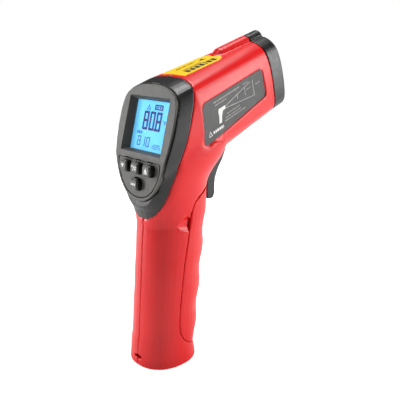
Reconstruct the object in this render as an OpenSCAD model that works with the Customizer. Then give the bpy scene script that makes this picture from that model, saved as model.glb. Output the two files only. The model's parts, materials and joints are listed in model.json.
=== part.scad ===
// Infrared thermometer: pistol-shaped, hand-held, reads surface temperature along its barrel.
// Origin: centre of the base. +X: the way it points, +Y: its left, +Z: up. Millimetres.

/* [Barrel] */
// How far the barrel points up when the base stands level, degrees
barrel_pitch = 18; // [15:1:20]
// Half width of the barrel beside the display band
barrel_half_w = 22.2; // [21.5:0.1:23]
// Half width of the barrel at the nose seam
nose_half_w = 15.2; // [14.8:0.1:16]
// Place of the nose seam along the barrel axis
seam_s = 108.5; // [106:0.5:112]
// Length of the nose cap ahead of the seam
cap_len = 10.4; // [9.5:0.1:12]
// Height of the sensing axis above the origin, measured square to the barrel
axis_t = 117.5; // [117:0.1:118]
// Radius of the laser ridge on top
ridge_r = 4.3; // [4.2:0.1:4.6]

/* [Grip] */
// Half depth of the base, front to back
base_half_d = 17.4; // [17:0.1:18.5]
// Half width of the base
base_half_w = 16.5; // [16.2:0.1:17.5]
// Wall of the red shells, the band and the door
wall = 2.2; // [2:0.1:2.4]
// Depth of the finger bumps on the door
bump = 1.5; // [0.6:0.1:1.8]

/* [Display] */
// Tilt of the display face from upright, degrees
face_tilt = 14.4; // [13.5:0.1:15.5]
// Tilt of the keypad face from upright, degrees
key_tilt = 5; // [4:0.5:6]
// Half width of the visible display
lcd_half_w = 12.8; // [12:0.1:13]
// Half height of the visible display
lcd_half_h = 12.2; // [11.5:0.1:12.4]

/* [Controls] */
// Spacing from the middle key to the outer keys
key_pitch = 9.4; // [9:0.1:9.6]
// How far a key stands out of the keypad plate
key_proud = 2.9; // [2:0.1:3.2]
// Half width of the trigger blade
trigger_half_w = 5; // [4.5:0.1:5.2]

/* [Power] */
// Battery body: depth across the grip, width and length
battery = [26.2, 17.2, 46.4];
// Tilt of the battery along the raked grip, degrees
battery_tilt = 5.2; // [4.8:0.1:5.6]

/* [Hidden] */

red = [0.80, 0.03, 0.05];
black = [0.06, 0.06, 0.065];
grey = [0.22, 0.22, 0.22];
gap = 0.35;
thin = 0.02;

// ---- shared shape helpers --------------------------------------------------
module barrel_frame() { rotate([0, -barrel_pitch, 0]) children(); }
module face_frame() { translate([-5.55, 0, 126.5]) rotate([0, face_tilt, 0]) children(); }
module key_frame() { translate([-13.25, 0, 104]) rotate([0, key_tilt, 0]) children(); }
// polygon of [y, z] pushed along X
module along_x(len) { rotate([90, 0, 90]) linear_extrude(height = len) children(); }
// polygon of [x, z] pushed along Y, centred
module across(width) {
    rotate([90, 0, 0]) linear_extrude(height = width, center = true) children();
}
module rod_y(r, len) { rotate([90, 0, 0]) cylinder(r = r, h = len, center = true, $fn = 48); }
module rod_x(r, len) { rotate([0, 90, 0]) cylinder(r = r, h = len, $fn = 64); }

function mix(a, b, f) = [for (i = [0:len(a) - 1]) a[i] * (1 - f) + b[i] * f];
function mid(a, b, c, d) = (-a + 9 * b + 9 * c - d) / 16;
// a half outline from top to bottom, with one smoothed point put between each two
function smooth(p) = let (n = len(p) - 1) [for (i = [0:2 * n])
    i % 2 == 0 ? p[i / 2]
    : let (k = floor(i / 2)) mid(p[max(k - 1, 0)], p[k], p[k + 1], p[min(k + 2, n)])];
function mirrored(p) = concat(p, [for (i = [len(p) - 2:-1:1]) [-p[i][0], p[i][1]]]);

// ---- barrel sections: [half width, height] from the top centre to the bottom ----
bw = barrel_half_w / 22.2;
nw = nose_half_w / 15.2;
sec_back = [[0, 139.6], [8, 139.3], [14, 138], [18, 135.6], [20.2, 132], [21.3, 128],
    [21.7, 123.5], [21.6, 119], [21, 114], [19.9, 109], [18.2, 104.6], [15, 100.8],
    [8, 98.4], [0, 98]];
sec_rear = [[0, 140.3], [9.5, 139.9], [15, 138.5], [18.7, 136.5], [20.8, 133], [21.8, 129],
    [22.2, 124], [22.3, 118.5], [22, 112.5], [21.1, 106.5], [19.2, 101], [15, 97.2],
    [8, 95.5], [0, 95.2]];
sec_nose = [[0, 139.1], [6.2, 138.7], [9.6, 137], [12, 135], [13.7, 132.3], [14.6, 129],
    [15.1, 125], [15.2, 120.5], [15, 115.5], [14.6, 110.5], [13.6, 105], [11.4, 101.2],
    [6.5, 98.7], [0, 98]];
sec_cap = [for (p = sec_nose) [p[0] * 0.945, axis_t + (p[1] - axis_t) * 0.985]];
back_s = 12;
rear_s = 50;
function widen(p, k) = [for (q = p) [q[0] * k, q[1]]];
function barrel_half(s) =
    s <= rear_s ? mix(widen(sec_back, bw), widen(sec_rear, bw), (s - back_s) / (rear_s - back_s))
    : s <= seam_s ? mix(widen(sec_rear, bw), widen(sec_nose, nw),
        (s - rear_s) / (seam_s - rear_s))
    : mix(widen(sec_nose, nw), widen(sec_cap, nw), (s - seam_s) / cap_len);
// inset keeps the wall: width and height both shrink towards the section's middle
function inset(p, w) = let (top = p[0][1], low = p[len(p) - 1][1], c = (top + low) / 2,
    half = max([for (q = p) q[0]]), ky = (half - w) / half, kz = ((top - low) / 2 - w)
    / ((top - low) / 2)) [for (q = p) [q[0] * ky, c + (q[1] - c) * kz]];
module barrel_slice(s, w) {
    translate([s, 0, 0]) along_x(thin) polygon(mirrored(smooth(inset(barrel_half(s), w))));
}
module barrel_run(stations, w) {
    for (i = [0:len(stations) - 2]) hull() {
        barrel_slice(stations[i], w);
        barrel_slice(stations[i + 1], w);
    }
}
ridge_t = 138;
ridge_s = 88;
module ridge(r, from, to) {
    translate([from, 0, ridge_t]) rod_x(r, to - from);
}
module ridge_outside(to) {
    ridge(ridge_r, ridge_s, to);
    hull() {
        translate([ridge_s, 0, ridge_t]) rod_x(ridge_r, thin);
        translate([ridge_s - 6, 0, ridge_t - 2]) rod_x(ridge_r - 1, thin);
    }
}

// ---- grip and neck sections: [z, rear x, front x, half width] ----
function wave(z) = bump * 0.5 * (1 + cos((z - 21) * 360 / 20.3));
function front_x(z) = 14.9 + 0.124 * z + (z > 12 && z < 72 ? wave(z) : 0);
grip_rows = [
    [0, -base_half_d + 0.5, base_half_d - 0.6, base_half_w - 0.6],
    [0.8, -base_half_d, base_half_d, base_half_w],
    [5, -16.9, 16.8, base_half_w - 0.1],
    [9, -16.6, 15.9, base_half_w - 0.2],
    [12, -16.3, front_x(13), base_half_w - 0.3],
    for (z = [16:4:72]) [z, -16.9 + 0.075 * z, front_x(z), 16.2 - 0.006 * z],
    [76, -11.1, 24.6, 15.9], [81, -11.2, 25.2, 16.1], [85, -12.6, 25.5, 16.4],
    [89, -14.8, 25.5, 16.9], [93, -16.4, 25.4, 17.4], [97, -17.4, 25.6, 18],
    [101, -18, 27.4, 18.9], [105, -18, 30.6, 20], [109, -17.5, 34.6, 21],
    [113, -16, 37, 21.7], [118, -12, 38.5, 22]];
function oval(n, a, b, c) = [for (i = [0:35]) let (u = cos(i * 10), v = sin(i * 10))
    [c + a * sign(u) * pow(abs(u), 2 / n), b * sign(v) * pow(abs(v), 2 / n)]];
module grip_slice(r, w) {
    translate([0, 0, r[0]]) linear_extrude(height = thin)
        polygon(oval(r[0] < 80 ? 2.2 : 2.4, (r[2] - r[1]) / 2 - w, r[3] - w, (r[1] + r[2]) / 2));
}
module grip_run(w) {
    for (i = [0:len(grip_rows) - 2]) hull() {
        grip_slice(grip_rows[i], w);
        grip_slice(grip_rows[i + 1], w);
    }
}

// ---- whole outside and whole inside ----
module outside() {
    grip_run(0);
    barrel_frame() {
        barrel_run([back_s, 24, 36, rear_s, 70, 90, seam_s], 0);
        ridge_outside(seam_s);
    }
}
module inside() {
    intersection() {
        grip_run(wall);
        translate([-60, -60, 3]) cube([120, 120, 140]);
    }
    barrel_frame() barrel_run([back_s, rear_s, seam_s + 1], wall);
}

// ---- where the pieces meet ----
// plane between the band and the red shells
band_low = [-10.8, 80.5];
band_slope = 0.262;
function band_x(z) = band_low[0] + band_slope * (z - band_low[1]);
module ahead_of_band(shift) {
    across(80) polygon([[band_x(-5) + shift - 30, -5], [band_x(70) + shift - 30, 70],
        [band_x(70) + shift, 70], [band_x(175) + shift, 175], [150, 175], [150, -5]]);
}
module behind_band(shift) {
    across(80) polygon([[-40, 70], [band_x(70) + shift, 70], [band_x(175) + shift, 175],
        [-40, 175]]);
}
// face of the display frame: two flats that meet below the display
kink = [-12.6, 112];
function face_x(z) = z > kink[1] ? kink[0] + tan(face_tilt + 0.6) * (z - kink[1])
    : kink[0] + tan(key_tilt) * (z - kink[1]);
module face_slab(near, far) {
    across(80) polygon([[face_x(70) + near, 70], [kink[0] + near, kink[1]],
        [face_x(160) + near, 160], [face_x(160) + far, 160], [kink[0] + far, kink[1]],
        [face_x(70) + far, 70]]);
}
frame_half = [[0, 146.6], [7, 146.2], [13.2, 144.6], [18.4, 141.6], [20.6, 137], [21.3, 131],
    [21.3, 125], [20.9, 119], [20, 113.5], [18.9, 108.5], [17.3, 103.6], [14.6, 98.6],
    [10.6, 94], [5.6, 91], [0, 89.9]];
function frame_outline(w) = let (c = 119) [for (q = frame_half)
    [q[0] * (21.3 - w) / 21.3, c + (q[1] - c) * (28 - w) / 28]];
module frame_prism(w) { translate([-40, 0, 0]) along_x(70)
    polygon(mirrored(smooth(frame_outline(w)))); }
frame_t = 2.4;
spigot_in = 1.7;

// battery door: side outline, and the hinge under it
hinge = [11, 16];
door_r = 6.6;
ear_y = 4.5;
ear_back = [2, 11.5];
lug_y = 7.7;
door_half = [[60, 96.2], [30, 96.2], [21.6, 94], [14, 90.9], [9.6, 88], [8.2, 84.5],
    [7.5, 78], [3.2, 56.7], [0.2, 34.3], [-0.5, 26], [-0.4, 20], [0.6, 17], [1.9, 14.6],
    [3.8, 12.7], [6.2, 11]];
module door_zone(g) {
    across(60) {
        offset(delta = g) polygon(concat(door_half, [hinge, [60, hinge[1]]]));
        translate(hinge) circle(r = door_r + g, $fn = 96);
    }
}
slot_half_w = 6.2;
slot_low = 82;
module trigger_slot() {
    translate([0, -slot_half_w, slot_low]) cube([50, 2 * slot_half_w, 40]);
}

// thumb scoop beside the door: three corners on the surface, four beyond the seam
scoop = [[8.4, 17, 85], [-1.8, 15, 76.5], [5, 16.5, 72.8], [9.5, 14.5, 82.5],
    [9.5, 14.5, 75.5], [9.5, 18.5, 86], [9.5, 18.5, 72.8]];

// seats of the two labels on the barrel sides, as [s, t] outlines in the barrel frame
side_label = [[50.5, 125.8], [53, 128], [99.5, 127.6], [101.5, 126.6], [101.8, 113.8],
    [100.6, 111.8], [49.6, 106.6], [47.2, 108.2]];
side_angle = atan((barrel_half_w - nose_half_w) / (seam_s - rear_s));
side_lean = 3;
module side_plate(hand, depth, thick, shrink) {
    barrel_frame() mirror([0, hand < 0 ? 1 : 0, 0])
        translate([rear_s, barrel_half_w - depth, 120]) rotate([-side_lean, 0, -side_angle])
        rotate([90, 0, 0]) translate([-rear_s, -120, -thick]) linear_extrude(height = thick)
        offset(delta = -shrink) polygon(side_label);
}
// screw posts that hold the halves together: [x, z] in the grip, [s, t] in the barrel
grip_posts = [[-3, 9.5], [-1, 84.6]];
post_r = 3.4;
barrel_posts = [[60, 102], [84, 132.6], [57, 134]];
module at_posts() {
    for (p = grip_posts) translate([p[0], 0, p[1]]) children();
    barrel_frame() for (p = barrel_posts) translate([p[0], 0, p[1]]) children();
}
rib_s = [77, 100];
tube_r = 9.6;
pivot = [37, 119.5];

// ---- red shells ----
module shell_body() {
    difference() {
        intersection() {
            outside();
            ahead_of_band(0.1);
        }
        difference() {
            inside();
            barrel_frame() translate([seam_s - 2.2, -30, 90]) cube([1, 60, 60]);
        }
        door_zone(gap);
        // way through for the lens tube and the nose spigot
        barrel_frame() {
            barrel_run([seam_s - 1.3, seam_s + 2], wall - 0.6);
            translate([seam_s - 5, 0, axis_t]) rod_x(tube_r + 0.05, 10);
            translate([91, 0, ridge_t]) rod_x(3.15, 40);
        }
        // trigger opening in the neck and the underside
        across(2 * trigger_half_w + 1.2) polygon([[18, 94], [50, 94], [43.2, 107],
            [43.2, 119], [30, 119], [24, 104]]);
        // thumb scoops beside the door
        for (m = [0, 1]) mirror([0, m, 0]) hull() for (p = scoop) translate(p)
            sphere(r = 0.4, $fn = 16);
        // strap slot at the heel
        translate([-20, 0, 5]) along_x(7) rounded(5.6, 1.8, 0.85);
        side_plate(1, 1.2, 4, 0);
        side_plate(-1, 1.2, 4, 0);
    }
}
module ribs() {
    barrel_frame() difference() {
        for (s = rib_s) barrel_run([s, s + 1.6], wall - 0.4);
        translate([60, 0, axis_t]) rod_x(tube_r + 0.05, 60);
        translate([60, 0, ridge_t]) rod_x(3.15, 60);
    }
}
module half_space(hand) {
    translate([-60, hand > 0 ? 0.03 : -40.03, -1]) cube([220, 40, 190]);
}
module shell_half(hand) {
    difference() {
        union() {
            intersection() {
                union() {
                    shell_body();
                    ribs();
                }
                half_space(hand);
            }
            // screw posts and the bosses that hold the trigger pin
            intersection() {
                union() {
                    at_posts() rod_y(post_r, 60);
                    translate([pivot[0], hand * 20.8, pivot[1]]) rod_y(3, 30);
                }
                outside();
                half_space(hand);
            }
            // door hinge ear, held from behind so that the door swings past it
            translate([0, hand * ear_y, 0]) across(3) {
                hull() {
                    translate(hinge) circle(r = 2, $fn = 48);
                    translate(ear_back) circle(r = 2, $fn = 48);
                }
                translate([ear_back[0] - 2, 1]) square([4, ear_back[1] - 1]);
            }
            // wall that closes the neck behind the trigger slot
            intersection() {
                translate([5.4, hand > 0 ? 0.03 : -40.03, 80.6]) cube([1.4, 40, 22]);
                outside();
            }
        }
        if (hand > 0) at_posts() {
            rod_y(1.35, 60);
            translate([0, 26, 0]) rod_y(2.35, 36);
        }
        else at_posts() rod_y(1, 18);
        translate([hinge[0], 0, hinge[1]]) rod_y(1, 60);
        translate([pivot[0], 0, pivot[1]]) rod_y(1.2, 20);
    }
}
module shell_left() { color(red) shell_half(1); }
module shell_right() { color(red) shell_half(-1); }

// ---- display end ----
module rear_band() { color(black) difference() {
    intersection() {
        outside();
        behind_band(0);
        face_slab(1.1, 60);
    }
    intersection() {
        frame_prism(-0.15);
        face_slab(-20, frame_t);
    }
    frame_prism(spigot_in - 0.15);
    inside();
} }
funnel_out = 5.5;
module lcd_funnel() {
    face_frame() hull() {
        translate([-funnel_out, -18.2, -15.1]) cube([thin, 36.4, 30.4]);
        translate([0, -lcd_half_w, -lcd_half_h]) cube([thin, 2 * lcd_half_w, 2 * lcd_half_h]);
    }
}
// keypad plate outline, and the four keys: [y, z] in the keypad's own frame
plate_half = [[0, 6.3], [16.2, 6.3], [16.4, 3.6], [15.4, -0.4], [13.9, -3.4], [11.6, -6.8],
    [8.4, -9.6], [4.4, -11.3], [0, -11.8]];
key_down = [key_pitch, 2.7];
key_set = [0, 2.7];
key_up = [-key_pitch, 2.7];
key_mode = [0, -5.3];
key_w = 6.4;
key_h = 5.8;
key_r = 1.9;
module rounded(w, h, r) {
    square([w - 2 * r, h], center = true);
    square([w, h - 2 * r], center = true);
    for (x = [-1, 1], y = [-1, 1]) translate([x * (w / 2 - r), y * (h / 2 - r)])
        circle(r = r, $fn = 48);
}
module key_hole(k, g) {
    translate([-8, k[0], k[1]]) along_x(16) rounded(key_w + 2 * g, key_h + 2 * g, key_r + g);
}
module display_frame() { color(grey) difference() {
    union() {
        intersection() {
            frame_prism(0);
            face_slab(0, frame_t - 0.8);
        }
        intersection() {
            frame_prism(0.8);
            face_slab(1, frame_t);
        }
        intersection() {
            frame_prism(spigot_in);
            face_slab(1, 6.4);
        }
    }
    lcd_funnel();
    face_frame() {
        translate([-0.01, -13.9, -13.3]) cube([1.22, 27.8, 26.6]);
        translate([1.2, -15.2, -14.5]) cube([12, 30.4, 29]);
    }
    key_frame() {
        translate([-3, 0, 0]) along_x(4.2)
            polygon(mirrored([for (q = plate_half) q * 1.034]));
        translate([2.4, -13.5, -10.5]) cube([12, 27, 16]);
        for (k = [key_down, key_set, key_up, key_mode]) key_hole(k, 1.2);
    }
} }
module display_window() { color([0.8, 0.95, 1, 0.4]) face_frame()
    translate([0.05, -13.7, -13.1]) cube([1.1, 27.4, 26.2]); }
module lcd_panel() { color([0.3, 0.75, 0.95]) face_frame()
    translate([1.25, -14.8, -14]) cube([2.6, 29.6, 28]); }
module lcd_backlight() { color([0.9, 0.9, 0.88]) face_frame()
    translate([3.95, -15, -14.2]) cube([3.4, 30, 28.4]); }
module keypad_plate() { color(grey) key_frame() difference() {
    translate([0, 0, 0]) along_x(1.1) polygon(mirrored(plate_half));
    for (k = [key_down, key_set, key_up, key_mode]) key_hole(k, 0.3);
} }
module key(k) { color(black) key_frame() translate([0, k[0], k[1]]) {
    translate([0.5 - key_proud, 0, 0]) along_x(key_proud + 1) rounded(key_w, key_h, key_r);
    translate([-key_proud, 0, 0]) along_x(0.6) rounded(key_w - 1.2, key_h - 1.2, key_r - 0.6);
    translate([1.4, 0, 0]) along_x(0.8) rounded(key_w + 1.2, key_h + 1.2, key_r);
    translate([2.1, 0, 0]) rod_x(1.3, 0.9);
} }
module button_down() { key(key_down); }
module button_set() { key(key_set); }
module button_up() { key(key_up); }
module button_mode() { key(key_mode); }
module key_switches() { color([0.2, 0.2, 0.22]) key_frame()
    for (k = [key_down, key_set, key_up, key_mode]) translate([0, k[0], k[1]]) {
        translate([4.3, -2.6, -2.6]) cube([1.5, 5.2, 5.2]);
        translate([3.95, 0, 0]) rod_x(1.1, 0.4);
    } }
module key_board() { color([0.05, 0.35, 0.15]) key_frame()
    translate([5.85, -12.8, -9.8]) cube([1.2, 25.6, 14.9]); }
module main_board() { color([0.05, 0.35, 0.15]) face_frame() difference() {
    translate([7.4, -17.5, -14.6]) cube([1.6, 35, 29.6]);
    for (y = [-15.6, 15.6], z = [-12.6, 13]) translate([7, y, z]) rod_x(1.1, 3);
} }
module buzzer() { color(black) face_frame() translate([9.05, 8, 3]) difference() {
    rod_x(6, 4);
    translate([2.5, 0, 0]) rod_x(1, 3);
} }

// ---- trigger ----
trigger_front = [[41.4, 112], [41.6, 109.4], [39.2, 104.3], [36.9, 101.1], [35.3, 98],
    [34.1, 94.9], [33.7, 91.1], [33.8, 87], [32.8, 84.6], [31.2, 83.9], [28.6, 84.3],
    [28, 90], [28.3, 95], [29.7, 99.5], [30.8, 104], [31.5, 109], [31.9, 112]];
module trigger() { color(black) difference() {
    union() {
        across(2 * trigger_half_w) polygon(trigger_front);
        across(5.2) polygon([[31.9, 111.9], [41.4, 111.9], [40.2, 119], [33.8, 119]]);
        translate([pivot[0], 0, pivot[1]]) rod_y(3.3, 5.2);
    }
    translate([pivot[0], 0, pivot[1]]) rod_y(1.25, 8);
} }
module trigger_pin() { color([0.7, 0.7, 0.72])
    translate([pivot[0], 0, pivot[1]]) rod_y(1.2, 19); }
module ring_coil(r, wire, turns, pitch) {
    steps = turns * 20;
    ring = 8;
    pts = [for (i = [0:steps], j = [0:ring - 1])
        let (a = i * 18, b = j * 360 / ring, q = r + wire * cos(b))
        [q * cos(a), i * pitch / 20 + wire * sin(b), q * sin(a)]];
    side = [for (i = [0:steps - 1], j = [0:ring - 1]) let (k = (j + 1) % ring)
        [i * ring + j, (i + 1) * ring + j, (i + 1) * ring + k, i * ring + k]];
    polyhedron(points = pts, faces = concat(side, [[for (j = [0:ring - 1]) j],
        [for (j = [ring - 1:-1:0]) steps * ring + j]]));
}
module trigger_spring() { color([0.75, 0.75, 0.78])
    translate([pivot[0], 3.15, pivot[1]]) ring_coil(2.1, 0.3, 2, 0.95); }
module trigger_switch() { color([0.2, 0.2, 0.22]) {
    translate([20, -3, 101]) cube([6.4, 6, 6.4]);
    translate([26.3, 0, 104.2]) rod_x(1.1, 2.4);
    translate([18.6, -6, 98]) cube([1.4, 12, 12]);
} }

// ---- nose ----
cap_end = seam_s + cap_len;
module nose_cap() { color(black) barrel_frame() difference() {
    union() {
        barrel_run([seam_s + 0.3, seam_s + 4, cap_end - 0.8], 0);
        hull() {
            barrel_slice(cap_end - 0.8, 0);
            barrel_slice(cap_end, 0.9);
        }
        ridge(ridge_r * 0.97, seam_s + 0.3, cap_end - 0.6);
        ridge(ridge_r * 0.97 - 0.6, cap_end - 0.7, cap_end);
        difference() {
            barrel_run([seam_s - 1.1, seam_s + 0.5], wall - 0.45);
            barrel_run([seam_s - 2, seam_s + 1], wall + 0.7);
        }
    }
    difference() {
        barrel_run([seam_s - 2, cap_end - 2.2], wall + 0.7);
        translate([seam_s + 0.4, 0, axis_t]) rod_x(12, 12);
        translate([seam_s + 0.4, 0, ridge_t - 1]) rod_x(4.2, 12);
    }
    translate([seam_s + 3, 0, axis_t]) rotate([0, 90, 0])
        cylinder(r1 = 8.1, r2 = 11.4, h = cap_len - 3 + 0.01, $fn = 64);
    translate([seam_s - 3, 0, axis_t]) rod_x(8.15, 8);
    translate([seam_s - 3, 0, axis_t]) rod_x(tube_r + 0.1, 4);
    translate([seam_s - 3, 0, ridge_t]) rod_x(3.05, 11);
    translate([seam_s + 5, 0, ridge_t]) rod_x(1.8, 10);
    translate([cap_end - 1.2, 0, ridge_t]) rod_x(2.6, 2);
} }
module ir_lens() { color([0.75, 0.78, 0.8, 0.6]) barrel_frame()
    translate([seam_s + 1.05, 0, axis_t]) rotate([0, 90, 0]) {
        cylinder(r = 8.05, h = 1.3, $fn = 64);
        translate([0, 0, 1.25]) cylinder(r1 = 7.2, r2 = 5.4, h = 0.6, $fn = 64);
    } }
module lens_tube() { color([0.6, 0.6, 0.62]) barrel_frame() translate([70, 0, axis_t])
    difference() {
        rod_x(tube_r, seam_s + 1 - 70);
        translate([3, 0, 0]) rod_x(7.6, 60);
        translate([-1, 0, 0]) rod_x(4.7, 10);
    } }
module ir_sensor() { color([0.8, 0.8, 0.8]) barrel_frame() translate([66.6, 0, axis_t]) {
    rod_x(4.65, 0.8);
    rod_x(4.1, 4.6);
    for (a = [45, 135, 225, 315]) translate([-2.4, 2.5 * cos(a), 2.5 * sin(a)]) rod_x(0.25, 2.6);
} }
module sensor_board() { color([0.05, 0.35, 0.15]) barrel_frame() translate([64.6, 0, axis_t])
    difference() {
        rod_x(9, 1.4);
        for (a = [45, 135, 225, 315]) translate([-1, 2.5 * cos(a), 2.5 * sin(a)]) rod_x(0.3, 4);
    } }
module laser_module() { color([0.75, 0.6, 0.3]) barrel_frame()
    translate([93, 0, ridge_t]) rod_x(3, seam_s + 7.9 - 93); }
module laser_window() { color([0.9, 0.3, 0.3, 0.5]) barrel_frame()
    translate([cap_end - 1.15, 0, ridge_t]) rod_x(2.55, 0.7); }

// ---- power ----
module battery_frame() { translate([3.9, 0, 48]) rotate([0, battery_tilt, 0]) children(); }
module battery_door() { color(red) difference() {
    union() {
        // skin
        difference() {
            intersection() {
                grip_run(0);
                door_zone(0);
            }
            grip_run(wall);
        }
        intersection() {
            grip_run(wall - 0.2);
            door_zone(0);
            union() {
                // cheeks of the trigger slot, and the ledge along the top edge
                for (m = [-1, 1]) translate([0, m * (slot_half_w + 0.7) - 0.7, slot_low - 6])
                    cube([40, 1.4, 30]);
                difference() {
                    translate([0, -40, slot_low + 1.5]) cube([40, 80, 30]);
                    door_zone(-1.6);
                }
                // hinge lugs
                for (m = [-1, 1]) translate([0, m * lug_y, 0]) across(2) {
                    translate(hinge) circle(r = 2.2, $fn = 48);
                    translate([hinge[0], hinge[1] - 2.2]) square([20, 4.4]);
                }
            }
        }
    }
    trigger_slot();
    translate([hinge[0], 0, hinge[1]]) rod_y(1.06, 2 * lug_y + 2.8);
    // room for the battery's front edge
    battery_frame() translate([-10, -battery[1] / 2 - tray_gap, -battery[2] / 2 - tray_gap])
        cube([10 + battery[0] / 2 + tray_gap, battery[1] + 2 * tray_gap, battery[2] + 5]);
    // and for the tray's edges
    battery_frame() tray_block(0.4);
} }
module door_pin() { color([0.7, 0.7, 0.72])
    translate([hinge[0], 0, hinge[1]]) rod_y(1, 2 * lug_y + 2.2); }
tray_gap = 0.35;
tray_wall = 1.1;
module tray_block(grow) {
    out = tray_gap + tray_wall + grow;
    translate([-battery[0] / 2 - out, -battery[1] / 2 - out, -battery[2] / 2 - out])
        cube([battery[0] * 0.62 + 2 * grow, battery[1] + 2 * out, battery[2] + 6.2 + 2 * out]);
}
module battery_tray() { color([0.25, 0.05, 0.05]) difference() {
    intersection() {
        battery_frame() tray_block(0);
        grip_run(wall + 0.1);
    }
    battery_frame() translate([-battery[0] / 2 - tray_gap, -battery[1] / 2 - tray_gap,
        -battery[2] / 2 - tray_gap]) cube([60, battery[1] + 2 * tray_gap,
            battery[2] + 6.2 + 2 * tray_gap]);
} }
terminal_y = 0;
terminal_x = 6.35;
module battery_9v() { color([0.8, 0.6, 0.15]) battery_frame() {
    translate([0, 0, -battery[2] / 2]) linear_extrude(height = battery[2])
        rounded(battery[0], battery[1], 2.2);
    translate([-terminal_x, 0, battery[2] / 2 - 0.1]) cylinder(r = 2.9, h = 2, $fn = 48);
    translate([terminal_x, 0, battery[2] / 2 - 0.1]) cylinder(r = 3.9, h = 2, $fn = 6);
} }
module battery_snap() { color(black) battery_frame()
    translate([0, 0, battery[2] / 2 + 0.2]) difference() {
        linear_extrude(height = 3.6) rounded(25.4, 12.4, 5);
        translate([-terminal_x, 0, -1]) cylinder(r = 3.1, h = 3, $fn = 48);
        translate([terminal_x, 0, -1]) cylinder(r = 4.1, h = 3, $fn = 48);
    } }

// ---- fixings and labels ----
module shell_screws() { color([0.6, 0.6, 0.62]) at_posts() {
    translate([0, 9, 0]) rod_y(2.2, 1.8);
    translate([0, 0.6, 0]) rod_y(0.98, 15.2);
} }
label_s = [55.5, 84.6];
module warning_label() { color([0.95, 0.8, 0.05]) barrel_frame() difference() {
    intersection() {
        barrel_run([rear_s, 70, 90], -0.16);
        translate([0, 0, 130]) linear_extrude(height = 20) polygon([[label_s[0], -9.2],
            [80, -8.6], [83, -7.4], [label_s[1], -4.6], [label_s[1], 4.6], [83, 7.4],
            [80, 8.6], [label_s[0], 9.2]]);
    }
    barrel_run([rear_s, 70, 90], 0);
    ridge_outside(seam_s);
} }
module side_label_right() { color(black) side_plate(-1, 1.2, 0.5, 0.25); }
module side_label_left() { color(black) side_plate(1, 1.2, 0.5, 0.25); }

shell_left();
shell_right();
rear_band();
display_frame();
display_window();
lcd_panel();
lcd_backlight();
keypad_plate();
button_down();
button_set();
button_up();
button_mode();
key_switches();
key_board();
main_board();
trigger();
trigger_pin();
trigger_spring();
trigger_switch();
nose_cap();
ir_lens();
lens_tube();
ir_sensor();
sensor_board();
laser_module();
laser_window();
battery_door();
door_pin();
battery_tray();
battery_9v();
battery_snap();
buzzer();
shell_screws();
warning_label();
side_label_right();
side_label_left();
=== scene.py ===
import math

import bmesh
import bpy
import numpy as np
from mathutils import Matrix, Vector
from mathutils.bvhtree import BVHTree
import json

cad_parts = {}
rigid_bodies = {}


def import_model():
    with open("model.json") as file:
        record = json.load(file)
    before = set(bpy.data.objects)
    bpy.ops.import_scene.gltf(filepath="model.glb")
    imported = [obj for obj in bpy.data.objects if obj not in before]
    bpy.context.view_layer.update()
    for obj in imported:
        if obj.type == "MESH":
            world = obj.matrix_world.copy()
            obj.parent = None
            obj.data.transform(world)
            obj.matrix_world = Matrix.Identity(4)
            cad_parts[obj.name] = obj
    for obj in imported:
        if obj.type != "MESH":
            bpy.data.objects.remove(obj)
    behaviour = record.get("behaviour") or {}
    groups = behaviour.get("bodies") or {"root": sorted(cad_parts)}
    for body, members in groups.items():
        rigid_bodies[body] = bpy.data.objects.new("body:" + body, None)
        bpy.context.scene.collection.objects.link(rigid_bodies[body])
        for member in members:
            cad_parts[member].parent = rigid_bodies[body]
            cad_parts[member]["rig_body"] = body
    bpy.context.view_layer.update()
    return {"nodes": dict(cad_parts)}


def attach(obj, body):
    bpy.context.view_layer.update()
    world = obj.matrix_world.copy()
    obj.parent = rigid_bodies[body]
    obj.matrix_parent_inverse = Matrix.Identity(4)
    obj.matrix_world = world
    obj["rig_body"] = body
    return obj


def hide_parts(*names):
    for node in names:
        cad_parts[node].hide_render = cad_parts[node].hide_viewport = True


MM = 0.001
WHITE_LIGHT = (1, 1, 1, 1)
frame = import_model()
nodes = frame["nodes"]
scene = bpy.context.scene
scene.view_settings.view_transform = "Standard"

# ---- camera -----------------------------------------------------------------
CAMERA_AT = Vector((-182.6, -233.4, 170.4)) * MM
CAMERA_LOOK = Vector((0.6445, 0.7158, -0.2689))
LENS_MM = 54.0
camera = bpy.data.objects.new("camera", bpy.data.cameras.new("camera"))
scene.collection.objects.link(camera)
camera.data.lens = LENS_MM
camera.data.sensor_width = 36.0
camera.data.clip_start = 0.01
camera.location = CAMERA_AT
camera.rotation_euler = CAMERA_LOOK.to_track_quat("-Z", "Y").to_euler()
scene.camera = camera


# ---- materials --------------------------------------------------------------
def linear(rgb):
    """8-bit screen colour to the linear values that shaders use."""
    return [(c / 255 / 12.92) if c <= 10 else ((c / 255 + 0.055) / 1.055) ** 2.4 for c in rgb]


def new_material(name):
    """A material with its node tree and its Principled shader."""
    mat = bpy.data.materials.new(name)
    mat.use_nodes = True
    tree = mat.node_tree
    return mat, tree, tree.nodes["Principled BSDF"]


def noise(tree, scale, detail=2.0, rough=0.5):
    """Noise in object coordinates; scale is in cycles per metre."""
    coord = tree.nodes.new("ShaderNodeTexCoord")
    tex = tree.nodes.new("ShaderNodeTexNoise")
    tex.inputs["Scale"].default_value = scale
    tex.inputs["Detail"].default_value = detail
    tex.inputs["Roughness"].default_value = rough
    tree.links.new(coord.outputs["Object"], tex.inputs["Vector"])
    return tex.outputs["Fac"]


def remap(tree, value, low, high, start=0.3, end=0.7):
    """Stretches a value's start..end range to low..high."""
    node = tree.nodes.new("ShaderNodeMapRange")
    node.inputs["From Min"].default_value = start
    node.inputs["From Max"].default_value = end
    node.inputs["To Min"].default_value = low
    node.inputs["To Max"].default_value = high
    tree.links.new(value, node.inputs["Value"])
    return node.outputs["Result"]


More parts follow.
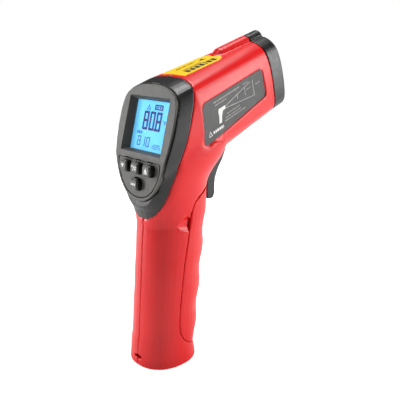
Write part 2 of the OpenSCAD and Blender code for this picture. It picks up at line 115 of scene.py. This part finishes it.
def colours(tree, value, dark, light, start=0.3, end=0.7):
    """Runs from the dark colour to the light one as a value goes from start to end."""
    node = tree.nodes.new("ShaderNodeValToRGB")
    stops = node.color_ramp.elements
    stops[0].position, stops[1].position = start, end
    stops[0].color = (*dark, 1)
    stops[1].color = (*light, 1)
    tree.links.new(value, node.inputs["Fac"])
    return node.outputs["Color"]


def moulded(name, rgb, rough=0.4, spread=0.05, grain=0.25, grain_size=0.35, tone=0.06,
            coat=0.0, specular=0.5):
    """Moulded plastic: fine spark grain, slow change of tone, and uneven polish."""
    mat, tree, shader = new_material(name)
    base = linear(rgb)
    slow = noise(tree, 55.0, 3.0)
    dark = [c * (1 - tone) for c in base]
    light = [min(1, c * (1 + tone)) for c in base]
    tree.links.new(colours(tree, slow, dark, light), shader.inputs["Base Color"])
    polish = noise(tree, 420.0, 4.0, 0.6)
    tree.links.new(remap(tree, polish, rough - spread, rough + spread),
                   shader.inputs["Roughness"])
    fine = noise(tree, 1000.0 / grain_size, 2.0, 0.55)
    bump = tree.nodes.new("ShaderNodeBump")
    bump.inputs["Strength"].default_value = grain
    bump.inputs["Distance"].default_value = 0.00004
    tree.links.new(fine, bump.inputs["Height"])
    tree.links.new(bump.outputs["Normal"], shader.inputs["Normal"])
    shader.inputs["Coat Weight"].default_value = coat
    shader.inputs["Coat Roughness"].default_value = 0.25
    shader.inputs["Specular IOR Level"].default_value = specular
    return mat


def metal(name, rgb, rough=0.3, stretch=(1, 1, 18)):
    """Turned or drawn metal with fine lines along one direction."""
    mat, tree, shader = new_material(name)
    coord = tree.nodes.new("ShaderNodeTexCoord")
    mapping = tree.nodes.new("ShaderNodeMapping")
    mapping.inputs["Scale"].default_value = stretch
    tex = tree.nodes.new("ShaderNodeTexNoise")
    tex.inputs["Scale"].default_value = 900.0
    tree.links.new(coord.outputs["Object"], mapping.inputs["Vector"])
    tree.links.new(mapping.outputs["Vector"], tex.inputs["Vector"])
    base = linear(rgb)
    tree.links.new(colours(tree, tex.outputs["Fac"], [c * 0.85 for c in base], base),
                   shader.inputs["Base Color"])
    tree.links.new(remap(tree, tex.outputs["Fac"], rough - 0.08, rough + 0.12),
                   shader.inputs["Roughness"])
    shader.inputs["Metallic"].default_value = 1.0
    return mat


def clear(name, rgb, alpha, rough=0.05):
    """Clear moulded cover: thin, faintly tinted, with a slight polish haze."""
    mat, tree, shader = new_material(name)
    haze = noise(tree, 300.0, 2.0)
    base = linear(rgb)
    tree.links.new(colours(tree, haze, [c * 0.97 for c in base], base),
                   shader.inputs["Base Color"])
    tree.links.new(remap(tree, haze, rough, rough + 0.04), shader.inputs["Roughness"])
    shader.inputs["Alpha"].default_value = alpha
    shader.inputs["IOR"].default_value = 1.49
    shader.inputs["Specular IOR Level"].default_value = 0.3
    return mat


def lit_panel(name, rgb, strength):
    """Backlit display glass with a slightly uneven tint."""
    mat, tree, shader = new_material(name)
    base = linear(rgb)
    uneven = noise(tree, 70.0, 1.5)
    tint = colours(tree, uneven, [base[0] * 0.8, base[1] * 0.92, base[2]],
                   [min(1, base[0] * 1.25), base[1] * 1.06, base[2]])
    tree.links.new(tint, shader.inputs["Base Color"])
    tree.links.new(tint, shader.inputs["Emission Color"])
    tree.links.new(remap(tree, noise(tree, 900.0), 0.6, 0.75), shader.inputs["Roughness"])
    shader.inputs["Specular IOR Level"].default_value = 0.05
    shader.inputs["Emission Strength"].default_value = strength
    return mat


def printed(name, rgb, rough=0.45):
    """Screen-printed ink with slight changes of tone and roughness."""
    mat, tree, shader = new_material(name)
    base = linear(rgb)
    grain = noise(tree, 2200.0, 2.0)
    tree.links.new(colours(tree, grain, [c * 0.88 for c in base], base),
                   shader.inputs["Base Color"])
    tree.links.new(remap(tree, grain, rough - 0.05, rough + 0.08), shader.inputs["Roughness"])
    return mat


# the way the key fronts face, and where their painted lit grey front starts and is full
KEY_LIT_FACING = (-0.996, 0.0, 0.087)
LIT_FRONT_STARTS, LIT_FRONT_FULL = 0.72, 0.96


def painted_lit_front_rubber(name, side, face, rough):
    """Black moulded rubber with painted light: the flat front is painted a lighter grey as if lit,
    and the sides stay dark as if shaded.
    """
    mat = moulded(name, side, rough, 0.05, 0.2, 0.3, 0.06)
    tree = mat.node_tree
    shader = tree.nodes["Principled BSDF"]
    coord = tree.nodes.new("ShaderNodeTexCoord")
    dot = tree.nodes.new("ShaderNodeVectorMath")
    dot.operation = "DOT_PRODUCT"
    dot.inputs[1].default_value = KEY_LIT_FACING
    tree.links.new(coord.outputs["Normal"], dot.inputs[0])
    # painted light: surfaces facing along the key front are painted grey as if lit, and the rest
    # stays dark as if shaded
    painted_lit_front = colours(tree, dot.outputs["Value"], linear(side), linear(face),
                    LIT_FRONT_STARTS, LIT_FRONT_FULL)
    speckle = colours(tree, noise(tree, 1400.0, 3.0), (0.9, 0.9, 0.9), (1, 1, 1))
    mix = tree.nodes.new("ShaderNodeMix")
    mix.data_type = "RGBA"
    mix.blend_type = "MULTIPLY"
    mix.inputs["Factor"].default_value = 1.0
    colour_a, colour_b, colour_out = mix.inputs[6], mix.inputs[7], mix.outputs[2]
    tree.links.new(painted_lit_front, colour_a)
    tree.links.new(speckle, colour_b)
    tree.links.new(colour_out, shader.inputs["Base Color"])
    duller = remap(tree, dot.outputs["Value"], rough, rough + 0.16, LIT_FRONT_STARTS, LIT_FRONT_FULL)
    tree.links.new(duller, shader.inputs["Roughness"])
    return mat


# height on the battery, from 0 to 1, where the copper-coloured band starts
WRAP_SPLIT = 0.66


def battery_wrap(name, low, high, rough):
    """Printed metal jacket: dark lower part, copper-coloured band round the top."""
    mat = metal(name, high, rough, (1, 1, 1))
    tree = mat.node_tree
    shader = tree.nodes["Principled BSDF"]
    coord = tree.nodes.new("ShaderNodeTexCoord")
    split = tree.nodes.new("ShaderNodeSeparateXYZ")
    tree.links.new(coord.outputs["Generated"], split.inputs["Vector"])
    tree.links.new(colours(tree, split.outputs["Z"], linear(low), linear(high),
                           WRAP_SPLIT, WRAP_SPLIT + 0.005), shader.inputs["Base Color"])
    return mat


RED = moulded("red_shell", (232, 10, 16), 0.34, 0.04, 0.12, 0.45, 0.03, specular=0.45)
RED_DOOR = moulded("red_door", (232, 10, 16), 0.38, 0.04, 0.16, 0.4, 0.03, specular=0.45)
BLACK = moulded("black_trim", (18, 18, 18), 0.36, 0.05, 0.25, 0.4, 0.06)
GREY = moulded("grey_trim", (76, 75, 71), 0.5, 0.05, 0.35, 0.35, 0.05)
# keys: black rubber with painted light, fronts painted grey as if lit
KEY = painted_lit_front_rubber("key_rubber_painted_lit_front", (16, 16, 16), (78, 77, 74), 0.3)
DARK = moulded("dark_plastic", (34, 34, 36), 0.5, 0.05, 0.3, 0.4, 0.1)
WHITE = moulded("light_guide", (232, 236, 238), 0.4, 0.05, 0.15, 0.5, 0.03)
BOARD = moulded("circuit_board", (18, 92, 44), 0.38, 0.08, 0.4, 0.6, 0.15)
TRAY = moulded("battery_tray", (150, 24, 26), 0.5, 0.05, 0.3, 0.4, 0.08)
SCREEN = lit_panel("lcd_glass", (92, 190, 238), 0.8)
WINDOW = clear("clear_window", (232, 244, 250), 0.04, 0.2)
LENS = clear("lens_glass", (150, 168, 176), 0.75, 0.08)
LASER_COVER = clear("laser_cover", (170, 40, 40), 0.6, 0.08)
STEEL = metal("steel", (176, 176, 180))
BRASS = metal("laser_brass", (196, 152, 74), 0.28)
JACKET = battery_wrap("battery_jacket", (24, 24, 26), (196, 128, 44), 0.34)
YELLOW = moulded("yellow_label", (250, 208, 6), 0.42, 0.04, 0.1, 0.6, 0.03)
CHARCOAL = moulded("dark_label", (50, 50, 48), 0.46, 0.05, 0.15, 0.5, 0.05)
INK_NAVY = lit_panel("lcd_segments", (4, 40, 132), 0.35)
INK_PALE_NAVY = lit_panel("lcd_fine_segments", (14, 84, 160), 0.45)
INK_BLACK = printed("ink_black", (30, 24, 10))
INK_WHITE = printed("ink_white", (240, 240, 236))
INK_GREY = printed("ink_grey", (150, 150, 146))

LOOKS = {
    "shell_left": RED, "shell_right": RED, "battery_door": RED_DOOR,
    "rear_band": BLACK, "nose_cap": BLACK, "trigger": BLACK,
    "display_frame": GREY, "keypad_plate": GREY,
    "button_down": KEY, "button_set": KEY, "button_up": KEY, "button_mode": KEY,
    "display_window": WINDOW, "lcd_panel": SCREEN, "lcd_backlight": WHITE,
    "key_switches": DARK, "trigger_switch": DARK, "buzzer": DARK, "battery_snap": DARK,
    "key_board": BOARD, "main_board": BOARD, "sensor_board": BOARD,
    "trigger_pin": STEEL, "trigger_spring": STEEL, "door_pin": STEEL,
    "shell_screws": STEEL, "ir_sensor": STEEL, "ir_lens": LENS, "lens_tube": DARK,
    "laser_module": BRASS, "laser_window": LASER_COVER, "battery_tray": TRAY,
    "battery_9v": JACKET, "warning_label": YELLOW,
    "side_label_right": CHARCOAL, "side_label_left": CHARCOAL,
}


def wear(ob, mat):
    """Gives an object one material."""
    ob.data.materials.clear()
    ob.data.materials.append(mat)


for name, mat in LOOKS.items():
    wear(nodes[name], mat)


# ---- smooth moulded surfaces ------------------------------------------------
# rounds of smoothing where a crease blends away, and the bend past which an edge stays
BLEND_ROUNDS = 90
EDGE_BEND = 0.12


def mesh_arrays(mesh):
    """A mesh's vertex places and edges as arrays."""
    co = np.zeros(len(mesh.vertices) * 3, np.float32)
    mesh.vertices.foreach_get("co", co)
    edges = np.zeros(len(mesh.edges) * 2, np.int32)
    mesh.edges.foreach_get("vertices", edges)
    return co.reshape(-1, 3).astype(np.float64), edges.reshape(-1, 2)


def averager(edges, count):
    """Returns a function that gives the mean of each vertex's neighbours."""
    a = np.concatenate([edges[:, 0], edges[:, 1]])
    b = np.concatenate([edges[:, 1], edges[:, 0]])
    degree = np.maximum(np.bincount(a, minlength=count), 1)[:, None]

    def mean(values):
        columns = [np.bincount(a, values[b, k], count) for k in range(values.shape[1])]
        return np.stack(columns, 1) / degree
    return mean


def vertex_normals(mesh):
    normals = np.zeros(len(mesh.vertices) * 3, np.float32)
    mesh.vertices.foreach_get("normal", normals)
    return normals.reshape(-1, 3).astype(np.float64)


def relax(co, mean, weight, rounds):
    """Smooths in place: each round moves in and slightly further out, to keep the size."""
    for _ in range(rounds):
        co += 0.5 * weight * (mean(co) - co)
        co -= 0.52 * weight * (mean(co) - co)


def lowest_nearby(values, mean, rounds):
    """Lowers each value towards its neighbours' mean where that is lower."""
    for _ in range(rounds):
        values = np.minimum(values, mean(values[:, None])[:, 0])
    return values


def soften(node, voxel_mm, rounds, crisp=0.05, extra=None):
    """Stands a piece with softly rounded, smooth surfaces in for a faceted CAD node.
    Edges keep their place because sharp places move least. extra(co) gives the places
    that blend into one curve, from 0 to 1."""
    source = nodes[node]
    piece = bpy.data.objects.new(node + "_skin", source.data.copy())
    scene.collection.objects.link(piece)
    remesh = piece.modifiers.new("remesh", "REMESH")
    remesh.mode = "VOXEL"
    remesh.voxel_size = voxel_mm * MM
    graph = bpy.context.evaluated_depsgraph_get()
    mesh = bpy.data.meshes.new_from_object(piece.evaluated_get(graph))
    piece.modifiers.clear()
    piece.data = mesh
    co, edges = mesh_arrays(mesh)
    mean = averager(edges, len(co))
    relax(co, mean, 1.0, 3)
    mesh.vertices.foreach_set("co", co.astype(np.float32).ravel())
    mesh.update()
    normal = vertex_normals(mesh)
    wide = normal
    for _ in range(4):
        wide = mean(wide)
    bend = 1 - (normal * wide).sum(1)
    weight = lowest_nearby(1 / (1 + (bend / crisp) ** 2), mean, 2)
    if extra:
        crease = lowest_nearby(1 / (1 + (bend / EDGE_BEND) ** 6), mean, 3)
        blend = (extra(co) * crease)[:, None]
        for _ in range(BLEND_ROUNDS):
            co += 0.5 * blend * (mean(co) - co)
    relax(co, mean, weight[:, None], rounds)
    mesh.vertices.foreach_set("co", co.astype(np.float32).ravel())
    mesh.polygons.foreach_set("use_smooth", [True] * len(mesh.polygons))
    mesh.update()
    wear(piece, LOOKS[node])
    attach(piece, source["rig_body"])
    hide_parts(node)


def ramp(value, start, end):
    """0 up to start, 1 from end on."""
    return np.clip((value - start) / (end - start), 0, 1)


def shoulder(co):
    """1 where the neck runs into the barrel, so that their crease blends away."""
    x, y, z = (co / MM).T
    high = ramp(z, 86, 98) * (1 - ramp(z, 106, 122))
    return high * ramp(np.abs(y), 12, 15) * (1 - ramp(x, 30, 40))


for name in ("shell_left", "shell_right"):
    soften(name, 0.5, 30, extra=shoulder)
soften("rear_band", 0.35, 20, extra=shoulder)
soften("display_frame", 0.2, 8)
soften("keypad_plate", 0.16, 5)
soften("nose_cap", 0.35, 20)
soften("battery_door", 0.4, 20)
soften("trigger", 0.3, 10)
for name in ("button_down", "button_set", "button_up", "button_mode"):
    soften(name, 0.16, 14, crisp=0.2)


# ---- printed marks ----------------------------------------------------------
# the display face, the keypad face and the barrel: a point in mm, and a tilt in degrees
DISPLAY_AT, DISPLAY_TILT = (-5.55, 0, 126.5), 14.4
KEYPAD_AT, KEYPAD_TILT = (-13.25, 0, 104.0), 5.0
BARREL_TILT = -18.0


def tilted(place, tilt):
    """Frame in mm at a point, turned about Y by tilt degrees."""
    return Matrix.Translation(place) @ Matrix.Rotation(math.radians(tilt), 4, "Y")


def axes(right, up, out):
    """Turns (right, up, out) coordinates on a printed face into its frame's x, y, z."""
    return Matrix([right, up, out]).transposed().to_4x4()


BACK = axes((0, -1, 0), (0, 0, 1), (-1, 0, 0))
FACE = tilted(DISPLAY_AT, DISPLAY_TILT) @ BACK
KEYS = tilted(KEYPAD_AT, KEYPAD_TILT) @ BACK
BARREL = tilted((0, 0, 0), BARREL_TILT)


def ink(name, plane, outlines, low, high, mat, body="housing"):
    """Thin raised print: closed (right, up) outlines in mm, from low to high off the plane."""
    print_mesh = bmesh.new()
    for outline in outlines:
        under, over = [[print_mesh.verts.new((plane @ Vector((u, v, h))) * MM)
                        for u, v in outline] for h in (low, high)]
        print_mesh.faces.new(under[::-1])
        print_mesh.faces.new(over)
        for i in range(len(outline)):
            j = (i + 1) % len(outline)
            print_mesh.faces.new((under[i], under[j], over[j], over[i]))
    bmesh.ops.recalc_face_normals(print_mesh, faces=print_mesh.faces)
    finish_piece(name, print_mesh, mat, body)


def finish_piece(name, shape, mat, body):
    """Makes an object of a finished bmesh and lets it ride on a body."""
    mesh = bpy.data.meshes.new(name)
    shape.to_mesh(mesh)
    shape.free()
    piece = bpy.data.objects.new(name, mesh)
    scene.collection.objects.link(piece)
    wear(piece, mat)
    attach(piece, body)


def bar(x, y, w, h):
    """Upright rectangle from its lower left corner."""
    return [(x, y), (x + w, y), (x + w, y + h), (x, y + h)]


def stroke(a, b, width):
    """Straight line from a to b."""
    a, b = Vector(a), Vector(b)
    side = (b - a).normalized().orthogonal() * width / 2
    return [tuple(a + side), tuple(b + side), tuple(b - side), tuple(a - side)]


def disc(x, y, r, sides=20):
    turns = [2 * math.pi * i / sides for i in range(sides)]
    return [(x + r * math.cos(a), y + r * math.sin(a)) for a in turns]


def segment(a, b, t):
    """Bar from a to b with bevelled ends, as on a seven-segment display."""
    a, b = Vector(a), Vector(b)
    along = (b - a).normalized() * t / 2
    side = along.orthogonal()
    return [tuple(p) for p in (a - along + side * 0.3, a - along * 0.3 + side,
                               b + along * 0.3 + side, b + along + side * 0.3,
                               b + along - side * 0.3, b + along * 0.3 - side,
                               a - along * 0.3 - side, a - along - side * 0.3)]


# the segments that each digit lights
LIT = {"0": "abcdef", "1": "bc", "5": "acdfg", "8": "abcdefg", "9": "abcdfg"}


def digit(value, x, y, w, h, t):
    """Seven-segment digit with its top left corner at x, y."""
    top, mid, low = y - t / 2, y - h / 2, y - h + t / 2
    left, right = x + t / 2, x + w - t / 2
    ends = {"a": ((left, top), (right, top)), "b": ((right, top), (right, mid)),
            "c": ((right, mid), (right, low)), "d": ((left, low), (right, low)),
            "e": ((left, mid), (left, low)), "f": ((left, top), (left, mid)),
            "g": ((left, mid), (right, mid))}
    return [segment(*ends[k], t) for k in LIT[value]]


# display contents: places are fractions of the visible display, from its top left
LCD_W, LCD_H = 25.6, 24.4
LCD_INK = (-1.21, -1.17)


def lcd(u, v):
    return (u - 0.5) * LCD_W, (0.5 - v) * LCD_H


def lcd_bar(u, v, w, h):
    """Upright rectangle on the display from its top left corner."""
    x, y = lcd(u, v)
    return bar(x, y - h * LCD_H, w * LCD_W, h * LCD_H)


def digits(text, u, v, w, h, step, t):
    """Row of seven-segment digits; a full stop goes after the digit before it."""
    out = []
    for value in text:
        x, y = lcd(u, v)
        if value == ".":
            out.append(bar(x - step * LCD_W + w * LCD_W + t * 0.2, y - h * LCD_H, t, t))
            continue
        out += digit(value, x, y, w * LCD_W, h * LCD_H, t)
        u += step
    return out


big = digits("80.8", 0.215, 0.205, 0.162, 0.385, 0.196, 1.25)
battery_icon = [lcd_bar(0.51, 0.06, 0.25, 0.03), lcd_bar(0.51, 0.145, 0.25, 0.025),
                lcd_bar(0.51, 0.06, 0.04, 0.11), lcd_bar(0.72, 0.06, 0.04, 0.11),
                lcd_bar(0.57, 0.1, 0.05, 0.035), lcd_bar(0.65, 0.1, 0.05, 0.035)]
ink("lcd_digits", FACE, big + battery_icon, *LCD_INK, INK_NAVY)
beam_icon = [stroke(lcd(0.275, 0.17), lcd(0.325, 0.08), 0.34),
             stroke(lcd(0.325, 0.08), lcd(0.375, 0.17), 0.34),
             stroke(lcd(0.27, 0.175), lcd(0.38, 0.175), 0.34), disc(*lcd(0.325, 0.145), 0.26)]
degree = [lcd_bar(0.86, 0.37, 0.045, 0.022), lcd_bar(0.86, 0.4, 0.035, 0.02),
          lcd_bar(0.86, 0.37, 0.015, 0.07), disc(*lcd(0.835, 0.365), 0.32)]
peak_mark = [lcd_bar(0.085 + 0.058 * k, 0.625, 0.042, 0.055) for k in range(3)]
small = digits("810", 0.135, 0.725, 0.105, 0.2, 0.14, 0.55)
finer = digits("0.95", 0.66, 0.85, 0.056, 0.09, 0.072, 0.28)
equals = [lcd_bar(0.61, 0.885, 0.045, 0.012), lcd_bar(0.61, 0.915, 0.045, 0.012)]
ink("lcd_small_marks", FACE, beam_icon + degree + peak_mark + small + finer + equals,
    *LCD_INK, INK_PALE_NAVY)

# key symbols, in mm from the middle of each key
KEY_FRONT = (2.86, 2.95)


def key_mark(button, y, z, outlines):
    """Prints on the front of the key at y, z, and moves with it."""
    placed = [[(u - y, v + z) for u, v in outline] for outline in outlines]
    ink(button + "_mark", KEYS, placed, *KEY_FRONT, INK_WHITE, nodes[button]["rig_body"])


KEY_PITCH, KEY_ROW, KEY_LOW = 9.4, 2.7, -5.3
key_mark("button_down", KEY_PITCH, KEY_ROW, [[(-1.2, 0.9), (0, -1.1), (1.2, 0.9)]])
key_mark("button_up", -KEY_PITCH, KEY_ROW, [[(-1.3, -0.7), (1.3, -0.7), (0, 1.4)],
                                            bar(-1.3, -1.45, 2.6, 0.5)])
key_mark("button_set", 0, KEY_ROW,
         [disc(-1.35, 0.75, 0.5), stroke((-0.8, -1.2), (0.6, 1.3), 0.42),
          disc(1.2, -0.45, 0.55), bar(0.95, 0.35, 1.1, 0.4)])
key_mark("button_mode", 0, KEY_LOW, [bar(-1.75, -0.55, 0.85, 1.1), bar(-0.55, -0.55, 1.1, 1.1),
                                     bar(0.85, -0.55, 0.85, 1.1)])

# row of fine raised bars above the keys, coloured black as painted shade for the dark groove line
# along the keypad's upper edge
SHADE_RIDGE_LEFT, SHADE_RIDGE_UP, SHADE_RIDGE_STEP = -11.6, 5.68, 1.75
painted_shade_ridges = [bar(SHADE_RIDGE_LEFT + SHADE_RIDGE_STEP * k, SHADE_RIDGE_UP, 1.15, 0.5) for k in range(14)]
# painted shade: these bars are black to stand for the shadow line at the keypad's upper edge
ink("keypad_painted_shade_ridges", KEYS, painted_shade_ridges, -0.1, 0.3, BLACK)

# side labels: (s, t) in mm along and across the barrel
LABEL_S, LABEL_T, LABEL_Y = 50.0, 120.0, 21.0
LABEL_TAPER, LABEL_LEAN = 6.82, 3.0


def side_plane(hand):
    """The face of a side label, from (s, t) and height off it; hand is 1 on the left."""
    turn = Matrix.Rotation(math.radians(-hand * LABEL_TAPER), 4, "Z")
    lean = Matrix.Rotation(math.radians(-hand * LABEL_LEAN), 4, "X")
    face = axes((1, 0, 0), (0, 0, 1), (0, hand, 0))
    there = Matrix.Translation((LABEL_S, hand * LABEL_Y, LABEL_T))
    back = Matrix.Translation((-LABEL_S, -LABEL_T, 0))
    return BARREL @ there @ turn @ lean @ face @ back


WORD_GAP, SHORTEST_WORD = 0.45, 0.4


def words(s, t, end, height, lengths=(2.2, 1.4, 3.0, 1.8, 0.9)):
    """Row of plain blocks in place of lettering."""
    out, k = [], 0
    while s < end - SHORTEST_WORD:
        w = min(lengths[k % len(lengths)], end - s)
        out.append(bar(s, t, w, height))
        s += w + WORD_GAP
        k += 1
    return out


pistol = [(62.2, 120.9), (67.4, 120.9), (67.4, 119.2), (65.0, 118.9), (63.9, 116.9),
          (62.8, 113.5), (60.8, 113.7), (61.6, 117.2), (61.5, 119.6)]
diagram = [pistol, stroke((67.9, 120.4), (89.9, 124.4), 0.16),
           stroke((67.9, 119.3), (91.7, 116.3), 0.16), stroke((91.9, 116.2), (91.9, 124.6), 0.2),
           stroke((77.9, 119.9), (77.9, 122.2), 0.16), stroke((84.6, 119.2), (84.6, 123.4), 0.16)]
heading = words(59.2, 124.9, 80.6, 0.75) + words(60.1, 123.3, 69.3, 0.6)
notes = (words(67.6, 115.9, 78.7, 0.5) + words(66.2, 114.3, 79.9, 0.5, (1.4, 2.6, 0.9, 1.9))
         + words(65.4, 112.9, 82.7, 0.5, (2.9, 1.1, 1.9)) + words(84.0, 124.9, 88.4, 0.5)
         + words(86.1, 121.3, 89.6, 0.5) + words(94.0, 121.2, 98.6, 0.5))
alert = [stroke((51.7, 110.4), (54.3, 110.4), 0.3), stroke((51.8, 110.4), (53.0, 112.8), 0.3),
         stroke((54.2, 110.4), (53.0, 112.8), 0.3)]
alert += words(55.3, 110.6, 63.7, 1.4, (1.2, 0.9, 1.3, 1.1))
LABEL_TOP = (0.49, 0.54)
for hand, side in ((-1, "right"), (1, "left")):
    plane = side_plane(hand)
    ink("label_diagram_" + side, plane, diagram + alert, *LABEL_TOP, INK_WHITE)
    ink("label_rows_" + side, plane, heading + notes, *LABEL_TOP, INK_GREY)


PRINT_LIFT, PRINT_THICK, ABOVE_LABEL = 0.01, 0.05, 170


def drape(name, outlines, under, mat):
    """Prints flat (s, y) outlines, in mm, on a node on the barrel's curved top."""
    source = nodes[under]
    tree = BVHTree.FromPolygons([source.matrix_world @ v.co for v in source.data.vertices],
                                [list(p.vertices) for p in source.data.polygons])
    turn = BARREL.to_3x3()
    shape = bmesh.new()
    for outline in outlines:
        shape.faces.new([shape.verts.new((s, y, 0)) for s, y in outline])
    bmesh.ops.subdivide_edges(shape, edges=shape.edges, cuts=3, use_grid_fill=True)
    bmesh.ops.triangulate(shape, faces=shape.faces)
    up = turn @ Vector((0, 0, 1))
    for vert in shape.verts:
        above = turn @ Vector((vert.co.x, vert.co.y, ABOVE_LABEL)) * MM
        hit = tree.ray_cast(above, -up)[0]
        vert.co = hit + up * PRINT_LIFT * MM
    bmesh.ops.recalc_face_normals(shape, faces=shape.faces)
    bmesh.ops.solidify(shape, geom=shape.faces, thickness=-PRINT_THICK * MM)
    bmesh.ops.recalc_face_normals(shape, faces=shape.faces)
    finish_piece(name, shape, mat, "housing")


FINE_LINE = 0.35


def broken_line(s, end, y):
    """Fine line in three stretches, in place of small lettering."""
    run = end - s
    stretches = ((0, 0.3), (0.34, 0.22), (0.6, 0.4))
    return [bar(s + run * at, y, run * part, FINE_LINE) for at, part in stretches]


BLOCK_WIDTHS, BLOCK_GAP, BLOCK_Y, BLOCK_TALL = (2.2, 2.2, 2.2, 2.2, 1.0, 2.2, 2.2), 1.0, -7.0, 3.6
blocks, start = [], 60.0
for width in BLOCK_WIDTHS:
    blocks.append(bar(start, BLOCK_Y, width, BLOCK_TALL))
    start += width + BLOCK_GAP
symbol = [[(75.2, 1.6), (78.4, -0.2), (78.4, 3.4)]]
lines = (broken_line(60, 74, -2.6) + broken_line(61, 73.4, -1.5)
         + broken_line(60, 73.8, 2.8) + broken_line(61.5, 72.8, 3.9))
drape("warning_blocks", blocks + symbol, "warning_label", INK_BLACK)
drape("warning_lines", lines, "warning_label", INK_BLACK)

# ---- stage and lights -------------------------------------------------------
FLOOR_HALF = 0.7
FLOOR_GLOW, FLOOR_GLOW_SEEN = 0.15, 0.75
FILL_STRENGTH = 0.12
floor = bpy.data.objects.new("floor", bpy.data.meshes.new("floor"))
scene.collection.objects.link(floor)
floor.data.from_pydata([(-FLOOR_HALF, -FLOOR_HALF, 0), (FLOOR_HALF, -FLOOR_HALF, 0),
                        (FLOOR_HALF, FLOOR_HALF, 0), (-FLOOR_HALF, FLOOR_HALF, 0)], [],
                       [(0, 1, 2, 3)])
PAPER = moulded("paper_floor", (254, 254, 254), 0.8, 0.02, 0.0, 3.0, 0.003, specular=0.0)
paper_tree = PAPER.node_tree
paper = paper_tree.nodes["Principled BSDF"]
paper.inputs["Emission Color"].default_value = WHITE_LIGHT
paper_path = paper_tree.nodes.new("ShaderNodeLightPath")
glow = remap(paper_tree, paper_path.outputs["Is Camera Ray"], FLOOR_GLOW, FLOOR_GLOW_SEEN, 0.0, 1.0)
paper_tree.links.new(glow, paper.inputs["Emission Strength"])
wear(floor, PAPER)

world = bpy.data.worlds.new("world")
scene.world = world
world.use_nodes = True
sky = world.node_tree
fill = sky.nodes["Background"]
fill.inputs["Color"].default_value = WHITE_LIGHT
fill.inputs["Strength"].default_value = FILL_STRENGTH
seen = sky.nodes.new("ShaderNodeBackground")
seen.inputs["Color"].default_value = WHITE_LIGHT
seen.inputs["Strength"].default_value = 1.0
path = sky.nodes.new("ShaderNodeLightPath")
blend = sky.nodes.new("ShaderNodeMixShader")
sky.links.new(path.outputs["Is Camera Ray"], blend.inputs["Fac"])
sky.links.new(fill.outputs["Background"], blend.inputs[1])
sky.links.new(seen.outputs["Background"], blend.inputs[2])
sky.links.new(blend.outputs["Shader"], sky.nodes["World Output"].inputs["Surface"])


def area_light(name, place, aim, size, power):
    """Soft rectangle of light at a place in metres, turned to aim."""
    data = bpy.data.lights.new(name, "AREA")
    data.shape = "RECTANGLE"
    data.size, data.size_y = size
    data.energy = power
    light = bpy.data.objects.new(name, data)
    scene.collection.objects.link(light)
    light.location = place
    light.rotation_euler = (Vector(aim) - Vector(place)).to_track_quat("-Z", "Y").to_euler()


MIDDLE = (0.02, 0, 0.09)
area_light("left_strip", (-0.46, 0.56, 0.24), MIDDLE, (0.14, 0.7), 4.8)
area_light("right_strip", (0.6, -0.46, 0.24), MIDDLE, (0.25, 0.7), 5.0)
area_light("top", (0.15, 0.12, 0.95), MIDDLE, (0.45, 0.4), 6.5)
